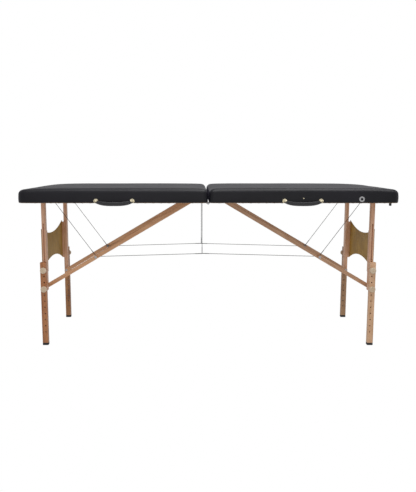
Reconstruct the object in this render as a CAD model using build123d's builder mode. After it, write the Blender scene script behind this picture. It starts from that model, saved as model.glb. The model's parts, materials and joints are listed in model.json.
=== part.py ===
"""A portable massage table: two padded halves, hinged together, on folding wooden leg frames.

+X runs along the table towards its head end, +Y across it, +Z up. The origin is on the floor,
under the middle of the whole object. The left half is the one on the -X side and the near side
is the -Y side, where the handles are. Pieces are drawn for the near left corner, with depths
measured outwards from the table's long centre line, and mirrored to the other corners.
"""

import os
from math import atan2, cos, degrees, hypot, radians, sin

from build123d import *

# ---- overall sizes -----------------------------------------------------------------------------
TABLE_LENGTH = 1850.0
TABLE_WIDTH = 700.0
UNDERSIDE_HEIGHT = 725.4
HALF_GAP = 6.0

# ---- padded top --------------------------------------------------------------------------------
COVER_THICKNESS = 1.2
FOAM_THICKNESS = 29.0
DECK_THICKNESS = 4.0
RAIL_HEIGHT = 38.8
RAIL_THICKNESS = 18.0
TOP_EDGE_RADIUS = 22.0
OUTER_CORNER_RADIUS = 40.0
INNER_CORNER_RADIUS = 25.0
FLANGE_WIDTH = 14.0

# ---- leg frame ---------------------------------------------------------------------------------
LEG_INSET = 104.0
LEG_PIVOT_ABOVE = 23.1
LEG_OUTER_FACE = 289.0
LOWER_LEG_THICKNESS = 23.0
LOWER_LEG_WIDTH = 28.0
LOWER_LEG_TOP = 425.4
SLIDE_GAP = 0.3
POST_DEPTH = 31.7
POST_WIDTH = 18.0
POST_FOOT = 278.0
PANEL_THICKNESS = 3.0
PANEL_STANDOFF = 9.0
PANEL_TOP_AT_EDGE = 588.0
PANEL_TOP_AT_MIDDLE = 547.0
PANEL_FOOT_AT_EDGE = 371.0
PANEL_FOOT_AT_MIDDLE = 419.0
CHEEK_THICKNESS = 8.0
CHEEK_SETBACK = 8.0

# ---- height setting ----------------------------------------------------------------------------
HOLE_PITCH = 31.75
HOLE_COUNT = 11
HOLE_RADIUS = 3.6
TOP_HOLE_BELOW = 38.4
CLAMP_PITCHES = 3
STUD_RADIUS = 3.0
STUD_HEAD_RADIUS = 5.0
STUD_HEAD_THICKNESS = 4.0
GROOVE_NECK_WIDTH = 7.0
GROOVE_NECK_DEPTH = 5.0
GROOVE_CHAMBER_WIDTH = 11.0
GROOVE_CHAMBER_DEPTH = 5.0
GROOVE_END_ROOM = 3.0
KNOB_RADIUS = 15.5
KNOB_THICKNESS = 18.5
KNOB_WAIST = 10.0
KNOB_GAP = 0.5
CAP_HEIGHT = 12.0
CAP_FLOOR = 4.0
CAP_WALL = 1.0

# ---- folding brace -----------------------------------------------------------------------------
LINK_WIDTH = 20.0
LINK_THICKNESS = 12.0
LAYER_GAP = 0.5
BRACE_FOOT_HEIGHT = 296.0
BRACE_FOOT_INWARD = 3.0
BRACE_TOP_FROM_MIDDLE = 45.0
BRACE_TOP_ABOVE_LEG_PIVOT = 3.0
PIVOT_RADIUS = 3.5
LEG_BOLT_RADIUS = 4.0
RUNNING_GAP = 0.08
HEAD_RADIUS = 6.5
HEAD_THICKNESS = 3.0
HEAD_GAP = 0.3
BRACE_BOLT_END_WALL = 15.0
BLOCK_FOOT_ABOVE = 4.6
LEG_BLOCK_LENGTH = 48.0
LEG_BLOCK_GAP = 1.8
BRACE_BLOCK_LENGTH = 53.0
BRACE_BLOCK_DEPTH = 46.5
BRACE_BLOCK_GAP = 2.5

# ---- cables ------------------------------------------------------------------------------------
CABLE_RADIUS = 1.25
FERRULE_RADIUS = 1.75
FERRULE_LENGTH = 34.0
EYE_RADIUS = 5.5
EYE_THICKNESS = 3.0
CABLE_PIN_RADIUS = 2.5
FIRST_CABLE_GAP = 2.5
CABLE_LAYER_PITCH = 4.0
STAY_ANCHOR_INWARD = 18.0
STAY_ANCHOR_BELOW_DECK = 6.9
STAY_TIP_SHORT = 8.0
DROP_FROM_MIDDLE = 28.5
DROP_TOP_ABOVE = 15.0
TIE_MIDDLE_RISE = 15.4
LUG_THICKNESS = 3.0
LUG_LENGTH = 14.0

# ---- middle hinges -----------------------------------------------------------------------------
HINGE_AXIS_BELOW = 6.5
BARREL_RADIUS = 4.5
HINGE_PIN_RADIUS = 2.5
LEAF_LENGTH = 36.0
LEAF_THICKNESS = 2.0
LEAF_FROM_AXIS = 6.5
KNUCKLE_COUNT = 5
KNUCKLE_WIDTH = 14.0
KNUCKLE_GAP = 0.4
HINGE_FROM_CENTRE = 250.0

# ---- handles -----------------------------------------------------------------------------------
HANDLE_FROM_MIDDLE = 455.0
HANDLE_MOUNTS_APART = 175.0
HANDLE_AXIS_ABOVE = 11.0
HANDLE_AXIS_OUT = 8.5
HANDLE_PIN_RADIUS = 2.0
HANDLE_BARREL_RADIUS = 4.0
HANDLE_BARREL_LENGTH = 10.0
HANDLE_STRAP_WIDTH = 17.0
HANDLE_STRAP_THICKNESS = 4.0
HANDLE_STRAP_DROP = 8.0
HANDLE_SAG = 7.0
EAR_GAP = 0.4
EAR_THICKNESS = 2.0
EAR_RADIUS = 4.5
BASE_PLATE = 22.0
BASE_PLATE_THICKNESS = 1.6

# ---- accessory sockets and small trim ----------------------------------------------------------
SOCKET_BORE_RADIUS = 6.5
SOCKET_WALL = 2.0
SOCKET_FLANGE_RADIUS = 13.0
SOCKET_FLANGE_THICKNESS = 1.5
ARM_SOCKET_FROM_END = 186.0
SOCKET_ABOVE = 20.0
ARM_BLOCK_LENGTH = 46.0
ARM_BLOCK_DEPTH = 12.0
HEAD_SOCKETS_APART = 220.0
HEAD_SOCKET_FLANGE_RADIUS = 12.0
HEAD_BLOCK_WIDTH = 46.0
HEAD_BLOCK_DEPTH = 26.0
SNAP_FROM_HANDLE = 3.5
SNAP_RADIUS = 4.5
SNAP_HEIGHT = 3.0
SNAP_ABOVE = 24.0
BUMPER_RADIUS = 6.0
BUMPER_FROM_END = 45.0
BUMPER_FROM_SIDE = 12.0
BUMPER_EASE = 0.5

# ---- worked out from the sizes above -----------------------------------------------------------
END = TABLE_LENGTH / 2
SIDE = TABLE_WIDTH / 2
MIDDLE = HALF_GAP / 2
RAIL_FOOT = UNDERSIDE_HEIGHT + COVER_THICKNESS
DECK_FOOT = RAIL_FOOT + RAIL_HEIGHT
FOAM_FOOT = DECK_FOOT + DECK_THICKNESS
TABLE_TOP = FOAM_FOOT + FOAM_THICKNESS + COVER_THICKNESS
RAIL_INNER = SIDE - COVER_THICKNESS - RAIL_THICKNESS

LEG_X = -(END - LEG_INSET)
LEG_PIVOT_Z = UNDERSIDE_HEIGHT + LEG_PIVOT_ABOVE
POST_X = (LEG_X - POST_WIDTH / 2, LEG_X + POST_WIDTH / 2)
PANEL_X = (POST_X[0] - PANEL_STANDOFF - PANEL_THICKNESS, POST_X[0] - PANEL_STANDOFF)
LOWER_LEG_X = (LEG_X + POST_WIDTH / 2 + 1 - LOWER_LEG_WIDTH, LEG_X + POST_WIDTH / 2 + 1)
LOWER_LEG_INNER = LEG_OUTER_FACE - LOWER_LEG_THICKNESS
POST_OUTER = LOWER_LEG_INNER - SLIDE_GAP
POST_INNER = POST_OUTER - POST_DEPTH
CHEEK_INNER = POST_INNER - CHEEK_THICKNESS
LOWER_LINK_OUTER = CHEEK_INNER - LAYER_GAP
LOWER_LINK_INNER = LOWER_LINK_OUTER - LINK_THICKNESS
UPPER_LINK_OUTER = LOWER_LINK_INNER - LAYER_GAP
UPPER_LINK_INNER = UPPER_LINK_OUTER - LINK_THICKNESS
TOP_HOLE_Z = LOWER_LEG_TOP - TOP_HOLE_BELOW
CLAMP_HEIGHTS = (TOP_HOLE_Z, TOP_HOLE_Z - CLAMP_PITCHES * HOLE_PITCH)
HEIGHT_TRAVEL = (HOLE_COUNT - 1 - CLAMP_PITCHES) * HOLE_PITCH
STUD_HEAD_OUTER = POST_OUTER - GROOVE_NECK_DEPTH - SLIDE_GAP
CHAMBER_INNER = POST_OUTER - GROOVE_NECK_DEPTH - GROOVE_CHAMBER_DEPTH

# The brace is straight while the table stands, and its two links lie along the leg when it is
# folded. Together those two states fix the links' lengths and the place of the knee.
BRACE_TOP = (-BRACE_TOP_FROM_MIDDLE, LEG_PIVOT_Z + BRACE_TOP_ABOVE_LEG_PIVOT)
BRACE_FOOT = (LEG_X + BRACE_FOOT_INWARD, BRACE_FOOT_HEIGHT)
BRACE_RUN = BRACE_TOP[0] - BRACE_FOOT[0]
BRACE_RISE = BRACE_TOP[1] - BRACE_FOOT[1]
BRACE_REACH = hypot(BRACE_RUN, BRACE_RISE)
BRACE_ANGLE = degrees(atan2(BRACE_RISE, BRACE_RUN))
FOLDED_REACH = BRACE_TOP[0] - LEG_X - (LEG_PIVOT_Z - BRACE_FOOT_HEIGHT)
LOWER_LINK_LENGTH = (BRACE_REACH - FOLDED_REACH) / 2
KNEE = (
    BRACE_FOOT[0] + LOWER_LINK_LENGTH * cos(radians(BRACE_ANGLE)),
    BRACE_FOOT[1] + LOWER_LINK_LENGTH * sin(radians(BRACE_ANGLE)),
)

STAY_LAYER = UPPER_LINK_INNER - FIRST_CABLE_GAP
LEFT_TIE_LAYER = STAY_LAYER - CABLE_LAYER_PITCH
RIGHT_TIE_LAYER = LEFT_TIE_LAYER - CABLE_LAYER_PITCH
DROP_LAYER = RIGHT_TIE_LAYER - CABLE_LAYER_PITCH
STAY_ANCHOR = (LEG_X + STAY_ANCHOR_INWARD, DECK_FOOT - STAY_ANCHOR_BELOW_DECK)
DROP_TOP = (-DROP_FROM_MIDDLE, UNDERSIDE_HEIGHT + DROP_TOP_ABOVE)
TIE_MIDDLE = (-DROP_FROM_MIDDLE, KNEE[1] + TIE_MIDDLE_RISE)

HINGE_AXIS_Z = UNDERSIDE_HEIGHT - HINGE_AXIS_BELOW
HINGE_WIDTH = KNUCKLE_COUNT * KNUCKLE_WIDTH + (KNUCKLE_COUNT - 1) * KNUCKLE_GAP
HANDLE_AXIS_Z = UNDERSIDE_HEIGHT + HANDLE_AXIS_ABOVE
HANDLE_AXIS_Y = SIDE + HANDLE_AXIS_OUT
SOCKET_Z = UNDERSIDE_HEIGHT + SOCKET_ABOVE
ARM_SOCKET_X = END - ARM_SOCKET_FROM_END
SOCKET_OUTER_RADIUS = SOCKET_BORE_RADIUS + SOCKET_WALL

# The handles stand proud on the near side, so everything is moved until the origin is central.
NEAR_REACH = HANDLE_AXIS_Y + EAR_RADIUS
FAR_REACH = SIDE + SOCKET_FLANGE_THICKNESS
CENTRING = Location((0, (NEAR_REACH - FAR_REACH) / 2, 0))

os.makedirs("parts", exist_ok=True)


def save(piece, name):
    """Moves a finished piece to the object's own origin, labels it and writes its file."""
    placed = piece.moved(CENTRING)
    placed.label = name
    export_step(placed, f"parts/{name}.step")


def save_group(pieces, name):
    """Writes several touching pieces, kept as separate solids, as one node."""
    group = Compound(children=[piece.moved(CENTRING) for piece in pieces])
    group.label = name
    export_step(group, f"parts/{name}.step")


def save_pair(piece, name):
    """Writes a piece of the left half, and its mirror image for the right half."""
    save(piece, f"left_{name}")
    save(piece.mirror(Plane.YZ), f"right_{name}")


def block(x, depth, z, mode=Mode.ADD):
    """A box on the near side, between two places along the table, two depths and two heights."""
    with Locations(((x[0] + x[1]) / 2, -(depth[0] + depth[1]) / 2, (z[0] + z[1]) / 2)):
        return Box(x[1] - x[0], depth[1] - depth[0], z[1] - z[0], mode=mode)


def cross_bar(point, radius, depth, mode=Mode.ADD):
    """A round bar across the table on the near side, at a point (x, z), between two depths."""
    with Locations((point[0], -(depth[0] + depth[1]) / 2, point[1])):
        return Cylinder(radius, depth[1] - depth[0], rotation=(90, 0, 0), mode=mode)


def cable_run(start, stop, depth, radius, length=None):
    """A straight round run from one point (x, z) towards another, at one depth."""
    toward = Vector(stop[0] - start[0], 0, stop[1] - start[1])
    plane = Plane(origin=(start[0], -depth, start[1]), z_dir=toward)
    with Locations(plane.location):
        return Cylinder(
            radius, length or toward.length, align=(Align.CENTER, Align.CENTER, Align.MIN)
        )


# ---- padded top --------------------------------------------------------------------------------
def outline_block(inset, foot, top, top_radius=0.0):
    """The left half's plan outline, set in all round, as a block with rounded upright corners."""
    with BuildPart() as outline:
        with BuildSketch(Plane.XY.offset(foot)):
            with Locations((-(END + MIDDLE) / 2, 0)):
                Rectangle(END - MIDDLE - 2 * inset, TABLE_WIDTH - 2 * inset)
        extrude(amount=top - foot)
        uprights = outline.edges().filter_by(Axis.Z).group_by(Axis.X)
        fillet(uprights[0], OUTER_CORNER_RADIUS - inset)
        uprights = outline.edges().filter_by(Axis.Z).group_by(Axis.X)
        fillet(uprights[-1], INNER_CORNER_RADIUS - inset)
        if top_radius:
            fillet(outline.faces().sort_by(Axis.Z)[-1].edges(), top_radius)
    return outline.part


def cover():
    """The vinyl cover: a thin shell over the top and sides, turned under the rails."""
    skin = outline_block(0, UNDERSIDE_HEIGHT, TABLE_TOP, TOP_EDGE_RADIUS)
    inside = outline_block(
        COVER_THICKNESS, RAIL_FOOT, TABLE_TOP - COVER_THICKNESS, TOP_EDGE_RADIUS - COVER_THICKNESS
    )
    with BuildPart() as shell:
        add(skin)
        add(inside, mode=Mode.SUBTRACT)
        with Locations((-(END + MIDDLE) / 2, 0, UNDERSIDE_HEIGHT)):
            Box(
                END - MIDDLE - 2 * FLANGE_WIDTH,
                TABLE_WIDTH - 2 * FLANGE_WIDTH,
                4 * COVER_THICKNESS,
                mode=Mode.SUBTRACT,
            )
    return shell.part


def foam():
    """The foam slab between the deck and the cover."""
    return outline_block(
        COVER_THICKNESS, FOAM_FOOT, TABLE_TOP - COVER_THICKNESS, TOP_EDGE_RADIUS - COVER_THICKNESS
    )


def deck():
    """The thin plywood deck on the rails."""
    return outline_block(COVER_THICKNESS, DECK_FOOT, FOAM_FOOT)


def rails():
    """Two cross rails and two side rails, cut to the outline's rounded corners."""
    outline = outline_block(COVER_THICKNESS, RAIL_FOOT, DECK_FOOT)
    end_face = END - COVER_THICKNESS
    middle_face = MIDDLE + COVER_THICKNESS
    height = (RAIL_FOOT, DECK_FOOT)
    pieces = []
    for x in (
        (-end_face, -end_face + RAIL_THICKNESS),
        (-middle_face - RAIL_THICKNESS, -middle_face),
    ):
        with BuildPart() as cross_rail:
            block(x, (-SIDE, SIDE), height)
            add(outline, mode=Mode.INTERSECT)
        pieces.append(cross_rail.part)
    for depth in ((RAIL_INNER, SIDE), (-SIDE, -RAIL_INNER)):
        with BuildPart() as side_rail:
            block((-end_face + RAIL_THICKNESS, -middle_face - RAIL_THICKNESS), depth, height)
            add(outline, mode=Mode.INTERSECT)
        pieces.append(side_rail.part)
    return pieces


def inner_blocks():
    """The wooden blocks glued in the corners: leg hangers and brace cleats."""
    height = (UNDERSIDE_HEIGHT + BLOCK_FOOT_ABOVE, DECK_FOOT)
    with BuildPart() as blocks:
        leg_block = (LEG_X - LEG_BLOCK_LENGTH / 2, LEG_X + LEG_BLOCK_LENGTH / 2)
        block(leg_block, (POST_OUTER + LEG_BLOCK_GAP, RAIL_INNER), height)
        cross_bar(
            (LEG_X, LEG_PIVOT_Z),
            LEG_BOLT_RADIUS,
            (POST_OUTER + LEG_BLOCK_GAP, RAIL_INNER),
            mode=Mode.SUBTRACT,
        )
        cleat_stop = -(MIDDLE + COVER_THICKNESS + RAIL_THICKNESS)
        cleat_depth = (UPPER_LINK_OUTER + BRACE_BLOCK_GAP, UPPER_LINK_OUTER + BRACE_BLOCK_DEPTH)
        block((cleat_stop - BRACE_BLOCK_LENGTH, cleat_stop), cleat_depth, height)
        cross_bar(BRACE_TOP, PIVOT_RADIUS, cleat_depth, mode=Mode.SUBTRACT)
        mirror(about=Plane.XZ)
    return blocks.part


def pivot_bolts():
    """Steel pieces fixed in a half: leg bolts, brace bolts, and lugs with pins for cables."""
    leg_pivot = (LEG_X, LEG_PIVOT_Z)
    with BuildPart() as bolts:
        cross_bar(leg_pivot, LEG_BOLT_RADIUS, (POST_INNER - HEAD_GAP, RAIL_INNER))
        head = (POST_INNER - HEAD_GAP - HEAD_THICKNESS, POST_INNER - HEAD_GAP)
        cross_bar(leg_pivot, HEAD_RADIUS, head)
        shank = (UPPER_LINK_INNER - HEAD_GAP, UPPER_LINK_OUTER + BRACE_BLOCK_DEPTH)
        cross_bar(BRACE_TOP, PIVOT_RADIUS, shank)
        head = (UPPER_LINK_INNER - HEAD_GAP - HEAD_THICKNESS, UPPER_LINK_INNER - HEAD_GAP)
        cross_bar(BRACE_TOP, HEAD_RADIUS, head)
        lug_depth = (STAY_LAYER + EYE_THICKNESS, STAY_LAYER + EYE_THICKNESS + LUG_THICKNESS)
        lug_x = (STAY_ANCHOR[0] - LUG_LENGTH / 2, STAY_ANCHOR[0] + LUG_LENGTH / 2)
        block(lug_x, lug_depth, (STAY_ANCHOR[1] - LUG_LENGTH / 2, DECK_FOOT))
        cross_bar(
            STAY_ANCHOR, CABLE_PIN_RADIUS, (STAY_LAYER - EYE_THICKNESS / 2, lug_depth[0])
        )
        mirror(about=Plane.XZ)
    return bolts.part


def drop_lugs():
    """Lugs on the left middle rail, each with the pin that its drop cable hangs from."""
    rail_face = -(MIDDLE + COVER_THICKNESS + RAIL_THICKNESS)
    depth = (DROP_LAYER + EYE_THICKNESS, DROP_LAYER + EYE_THICKNESS + LUG_THICKNESS)
    with BuildPart() as lugs:
        x = (DROP_TOP[0] - CABLE_PIN_RADIUS - 1, rail_face)
        block(x, depth, (DROP_TOP[1] - LUG_LENGTH / 2, DROP_TOP[1] + LUG_LENGTH / 2))
        cross_bar(DROP_TOP, CABLE_PIN_RADIUS, (DROP_LAYER - EYE_THICKNESS / 2, depth[0]))
        mirror(about=Plane.XZ)
    return lugs.part


# ---- middle hinges -----------------------------------------------------------------------------
def hinge_leaves(first_knuckle):
    """The left-hand leaves of the two hinges, with every other knuckle from the given one."""
    near_edge = HINGE_FROM_CENTRE - HINGE_WIDTH / 2
    leaf_x = (-LEAF_FROM_AXIS - LEAF_LENGTH, -LEAF_FROM_AXIS)
    with BuildPart() as leaves:
        block(
            leaf_x,
            (near_edge, near_edge + HINGE_WIDTH),
            (UNDERSIDE_HEIGHT - LEAF_THICKNESS, UNDERSIDE_HEIGHT),
        )
        for knuckle in range(first_knuckle, KNUCKLE_COUNT, 2):
            start = near_edge + knuckle * (KNUCKLE_WIDTH + KNUCKLE_GAP)
            depth = (start, start + KNUCKLE_WIDTH)
            cross_bar((0, HINGE_AXIS_Z), BARREL_RADIUS, depth)
            web_x = (-LEAF_FROM_AXIS - LEAF_THICKNESS, -BARREL_RADIUS / 2)
            block(web_x, depth, (HINGE_AXIS_Z, UNDERSIDE_HEIGHT))
            cross_bar(
                (0, HINGE_AXIS_Z), HINGE_PIN_RADIUS + RUNNING_GAP, depth, mode=Mode.SUBTRACT
            )
        mirror(about=Plane.XZ)
    return leaves.part


def hinge_pins():
    """The two hinge pins."""
    near_edge = HINGE_FROM_CENTRE - HINGE_WIDTH / 2
    with BuildPart() as pins:
        cross_bar((0, HINGE_AXIS_Z), HINGE_PIN_RADIUS, (near_edge, near_edge + HINGE_WIDTH))
        mirror(about=Plane.XZ)
    return pins.part


# ---- leg frame ---------------------------------------------------------------------------------
def posts():
    """The two posts of a leg frame, each with a grooved outer face and a cheek that carries the panel."""
    with BuildPart() as pair:
        block(POST_X, (POST_INNER, POST_OUTER), (POST_FOOT, LEG_PIVOT_Z))
        cross_bar((LEG_X, LEG_PIVOT_Z), POST_WIDTH / 2, (POST_INNER, POST_OUTER))
        cheek_height = (PANEL_FOOT_AT_EDGE, PANEL_TOP_AT_EDGE - CHEEK_SETBACK)
        block((PANEL_X[1], POST_X[1]), (CHEEK_INNER, POST_INNER), cheek_height)
        cross_bar(
            (LEG_X, LEG_PIVOT_Z),
            LEG_BOLT_RADIUS + RUNNING_GAP,
            (POST_INNER, POST_OUTER),
            mode=Mode.SUBTRACT,
        )
        bolt_hole = (POST_INNER, POST_OUTER - BRACE_BOLT_END_WALL)
        cross_bar(BRACE_FOOT, PIVOT_RADIUS + RUNNING_GAP, bolt_hole, mode=Mode.SUBTRACT)
        groove = (
            CLAMP_HEIGHTS[1] - STUD_HEAD_RADIUS - GROOVE_END_ROOM,
            CLAMP_HEIGHTS[0] + HEIGHT_TRAVEL + STUD_HEAD_RADIUS + GROOVE_END_ROOM,
        )
        neck = (POST_OUTER - GROOVE_NECK_DEPTH, POST_OUTER)
        chamber = (CHAMBER_INNER, neck[0])
        for width, depth in ((GROOVE_NECK_WIDTH, neck), (GROOVE_CHAMBER_WIDTH, chamber)):
            block((LEG_X - width / 2, LEG_X + width / 2), depth, groove, mode=Mode.SUBTRACT)
        mirror(about=Plane.XZ)
    return pair.part


def end_panel():
    """The thin panel between the posts, held off them by the cheeks, with arched edges."""
    half = POST_INNER
    with BuildPart() as panel:
        with BuildSketch(Plane.YZ.offset(PANEL_X[0])):
            with BuildLine():
                ThreePointArc(
                    (-half, PANEL_TOP_AT_EDGE), (0, PANEL_TOP_AT_MIDDLE), (half, PANEL_TOP_AT_EDGE)
                )
                Line((half, PANEL_TOP_AT_EDGE), (half, PANEL_FOOT_AT_EDGE))
                ThreePointArc(
                    (half, PANEL_FOOT_AT_EDGE),
                    (0, PANEL_FOOT_AT_MIDDLE),
                    (-half, PANEL_FOOT_AT_EDGE),
                )
                Line((-half, PANEL_FOOT_AT_EDGE), (-half, PANEL_TOP_AT_EDGE))
            make_face()
        extrude(amount=PANEL_THICKNESS)
    return panel.part


# ---- lower leg ---------------------------------------------------------------------------------
def lower_leg():
    """The near left lower leg, with its row of holes."""
    with BuildPart() as leg:
        block(LOWER_LEG_X, (LOWER_LEG_INNER, LEG_OUTER_FACE), (CAP_FLOOR, LOWER_LEG_TOP))
        shoulder = CAP_WALL
        for x in (LOWER_LEG_X[0], LOWER_LEG_X[1] - shoulder):
            block(
                (x, x + shoulder),
                (LOWER_LEG_INNER, LEG_OUTER_FACE),
                (CAP_FLOOR, CAP_HEIGHT),
                mode=Mode.SUBTRACT,
            )
        for depth in (LOWER_LEG_INNER, LEG_OUTER_FACE - shoulder):
            block(
                LOWER_LEG_X, (depth, depth + shoulder), (CAP_FLOOR, CAP_HEIGHT), mode=Mode.SUBTRACT
            )
        for step in range(HOLE_COUNT):
            cross_bar(
                (LEG_X, TOP_HOLE_Z - step * HOLE_PITCH),
                HOLE_RADIUS,
                (LOWER_LEG_INNER, LEG_OUTER_FACE),
                mode=Mode.SUBTRACT,
            )
    return leg.part


def foot_cap():
    """The rubber cap on the foot of the near left lower leg."""
    with BuildPart() as cap:
        block(LOWER_LEG_X, (LOWER_LEG_INNER, LEG_OUTER_FACE), (0, CAP_HEIGHT))
        block(
            (LOWER_LEG_X[0] + CAP_WALL, LOWER_LEG_X[1] - CAP_WALL),
            (LOWER_LEG_INNER + CAP_WALL, LEG_OUTER_FACE - CAP_WALL),
            (CAP_FLOOR, CAP_HEIGHT),
            mode=Mode.SUBTRACT,
        )
    return cap.part


def clamp_studs():
    """The two studs whose heads ride in the groove of the near left post."""
    with BuildPart() as studs:
        for height in CLAMP_HEIGHTS:
            head = (STUD_HEAD_OUTER - STUD_HEAD_THICKNESS, STUD_HEAD_OUTER)
            cross_bar((LEG_X, height), STUD_HEAD_RADIUS, head)
            shank = (head[1], LEG_OUTER_FACE + KNOB_GAP + KNOB_THICKNESS * 0.75)
            cross_bar((LEG_X, height), STUD_RADIUS, shank)
    return studs.part


def clamp_knob(height):
    """A knob of the near left lower leg, with a waist at its leg end and a hole for its stud."""
    face = LEG_OUTER_FACE + KNOB_GAP
    waist = (face, face + KNOB_THICKNESS / 3)
    body = (waist[1], face + KNOB_THICKNESS)
    with BuildPart() as knob:
        cross_bar((LEG_X, height), KNOB_RADIUS, body)
        fillet(knob.edges().filter_by(GeomType.CIRCLE), KNOB_THICKNESS / 6)
        cross_bar((LEG_X, height), KNOB_WAIST, waist)
        stud_hole = (face, face + KNOB_THICKNESS * 0.75 + KNOB_GAP)
        cross_bar((LEG_X, height), STUD_RADIUS + RUNNING_GAP, stud_hole, mode=Mode.SUBTRACT)
    return knob.part


# ---- folding brace -----------------------------------------------------------------------------
def brace_links(start, stop, depth, hole_radii):
    """A pair of wooden links between two points (x, z), with a hole at each end."""
    with BuildPart() as links:
        with BuildSketch(Plane.XZ.offset(depth[0])):
            middle = ((start[0] + stop[0]) / 2, (start[1] + stop[1]) / 2)
            with Locations(middle):
                SlotCenterToCenter(
                    hypot(stop[0] - start[0], stop[1] - start[1]), LINK_WIDTH, BRACE_ANGLE
                )
            for point, radius in zip((start, stop), hole_radii):
                with Locations(point):
                    Circle(radius, mode=Mode.SUBTRACT)
        extrude(amount=depth[1] - depth[0])
        mirror(about=Plane.XZ)
    return links.part


def lower_links():
    """The lower links, with recesses for the bolt heads at the post and at the knee."""
    with BuildPart() as links:
        add(
            brace_links(
                BRACE_FOOT, KNEE, (LOWER_LINK_INNER, LOWER_LINK_OUTER), (PIVOT_RADIUS, PIVOT_RADIUS)
            )
        )
        for point, depth in (
            (BRACE_FOOT, (LOWER_LINK_INNER, LOWER_LINK_INNER + HEAD_THICKNESS)),
            (KNEE, (LOWER_LINK_OUTER - HEAD_THICKNESS, LOWER_LINK_OUTER)),
        ):
            for side in (1, -1):
                across = sorted((side * depth[0], side * depth[1]))
                cross_bar(point, HEAD_RADIUS, across, mode=Mode.SUBTRACT)
    return links.part


def brace_bolts():
    """Steel pieces fixed in the lower links: foot bolts with their collars, and knee heads."""
    with BuildPart() as bolts:
        head = (LOWER_LINK_INNER, LOWER_LINK_INNER + HEAD_THICKNESS)
        cross_bar(BRACE_FOOT, HEAD_RADIUS, head)
        bolt_end = POST_OUTER - BRACE_BOLT_END_WALL - HEAD_GAP
        cross_bar(BRACE_FOOT, PIVOT_RADIUS, (head[1], bolt_end))
        cross_bar(BRACE_FOOT, HEAD_RADIUS, (LOWER_LINK_OUTER, POST_INNER - HEAD_GAP))
        head = (LOWER_LINK_OUTER - HEAD_THICKNESS, LOWER_LINK_OUTER)
        cross_bar(KNEE, HEAD_RADIUS, head)
        cross_bar(KNEE, PIVOT_RADIUS, (LOWER_LINK_INNER, head[0]))
        mirror(about=Plane.XZ)
    return bolts.part


def knee_bolts(tie_layer):
    """Steel pieces fixed in the upper links at the knee: a bolt, its head and the cable pin."""
    with BuildPart() as bolts:
        cross_bar(KNEE, PIVOT_RADIUS, (UPPER_LINK_INNER, UPPER_LINK_OUTER))
        cross_bar(KNEE, HEAD_RADIUS, (UPPER_LINK_INNER - 1, UPPER_LINK_INNER))
        cross_bar(KNEE, CABLE_PIN_RADIUS, (tie_layer - EYE_THICKNESS / 2, UPPER_LINK_INNER - 1))
        mirror(about=Plane.XZ)
    return bolts.part


# ---- cables ------------------------------------------------------------------------------------
def cable_eye(point, depth):
    """The ring crimped on a cable's end, turning on its pin."""
    across = (depth - EYE_THICKNESS / 2, depth + EYE_THICKNESS / 2)
    cross_bar(point, EYE_RADIUS, across)


def cable_bore(point, depth):
    """The hole of a cable's ring, cut after the cable has joined it."""
    across = (depth - EYE_THICKNESS / 2, depth + EYE_THICKNESS / 2)
    cross_bar(point, CABLE_PIN_RADIUS + RUNNING_GAP, across, mode=Mode.SUBTRACT)


def cables(start, stop, depth, shortened=0.0):
    """A pair of straight cables, ringed at the start and with a crimped sleeve at the stop."""
    reach = hypot(stop[0] - start[0], stop[1] - start[1]) - shortened
    share = (reach - FERRULE_LENGTH) / hypot(stop[0] - start[0], stop[1] - start[1])
    sleeve = tuple(a + share * (b - a) for a, b in zip(start, stop))
    with BuildPart() as pair:
        cable_eye(start, depth)
        cable_run(start, stop, depth, CABLE_RADIUS, reach)
        cable_run(sleeve, stop, depth, FERRULE_RADIUS, FERRULE_LENGTH)
        cable_bore(start, depth)
        mirror(about=Plane.XZ)
    return pair.part


# ---- handles -----------------------------------------------------------------------------------
def bar_along(x, depth, z, radius, mode=Mode.ADD):
    """A round bar along the table between two places, at one depth and height."""
    with Locations(((x[0] + x[1]) / 2, -depth, z)):
        return Cylinder(radius, x[1] - x[0], rotation=(0, 90, 0), mode=mode)


def handle():
    """The left handle: a sagging strap that hangs from a barrel at each end."""
    mount_x = [-HANDLE_FROM_MIDDLE + side * HANDLE_MOUNTS_APART / 2 for side in (-1, 1)]
    strap_top = HANDLE_AXIS_Z - HANDLE_STRAP_DROP + HANDLE_BARREL_RADIUS / 2
    strap_foot = strap_top - HANDLE_STRAP_WIDTH
    reach = HANDLE_MOUNTS_APART / 2 + HANDLE_BARREL_LENGTH / 2
    middle = -HANDLE_FROM_MIDDLE
    with BuildPart() as strap:
        with BuildSketch(Plane.XZ.offset(HANDLE_AXIS_Y - HANDLE_STRAP_THICKNESS / 2)):
            with BuildLine():
                ThreePointArc(
                    (middle - reach, strap_top),
                    (middle, strap_top - HANDLE_SAG),
                    (middle + reach, strap_top),
                )
                Line((middle + reach, strap_top), (middle + reach, strap_foot + HANDLE_SAG / 2))
                ThreePointArc(
                    (middle + reach, strap_foot + HANDLE_SAG / 2),
                    (middle, strap_foot - HANDLE_SAG / 2),
                    (middle - reach, strap_foot + HANDLE_SAG / 2),
                )
                Line((middle - reach, strap_foot + HANDLE_SAG / 2), (middle - reach, strap_top))
            make_face()
        extrude(amount=HANDLE_STRAP_THICKNESS)
        for x in mount_x:
            width = (x - HANDLE_BARREL_LENGTH / 2, x + HANDLE_BARREL_LENGTH / 2)
            half = HANDLE_STRAP_THICKNESS / 2
            block(width, (HANDLE_AXIS_Y - half, HANDLE_AXIS_Y + half), (strap_top - 1, HANDLE_AXIS_Z))
            bar_along(width, HANDLE_AXIS_Y, HANDLE_AXIS_Z, HANDLE_BARREL_RADIUS)
            bar_along(
                width,
                HANDLE_AXIS_Y,
                HANDLE_AXIS_Z,
                HANDLE_PIN_RADIUS + RUNNING_GAP,
                mode=Mode.SUBTRACT,
            )
    return strap.part


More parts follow.
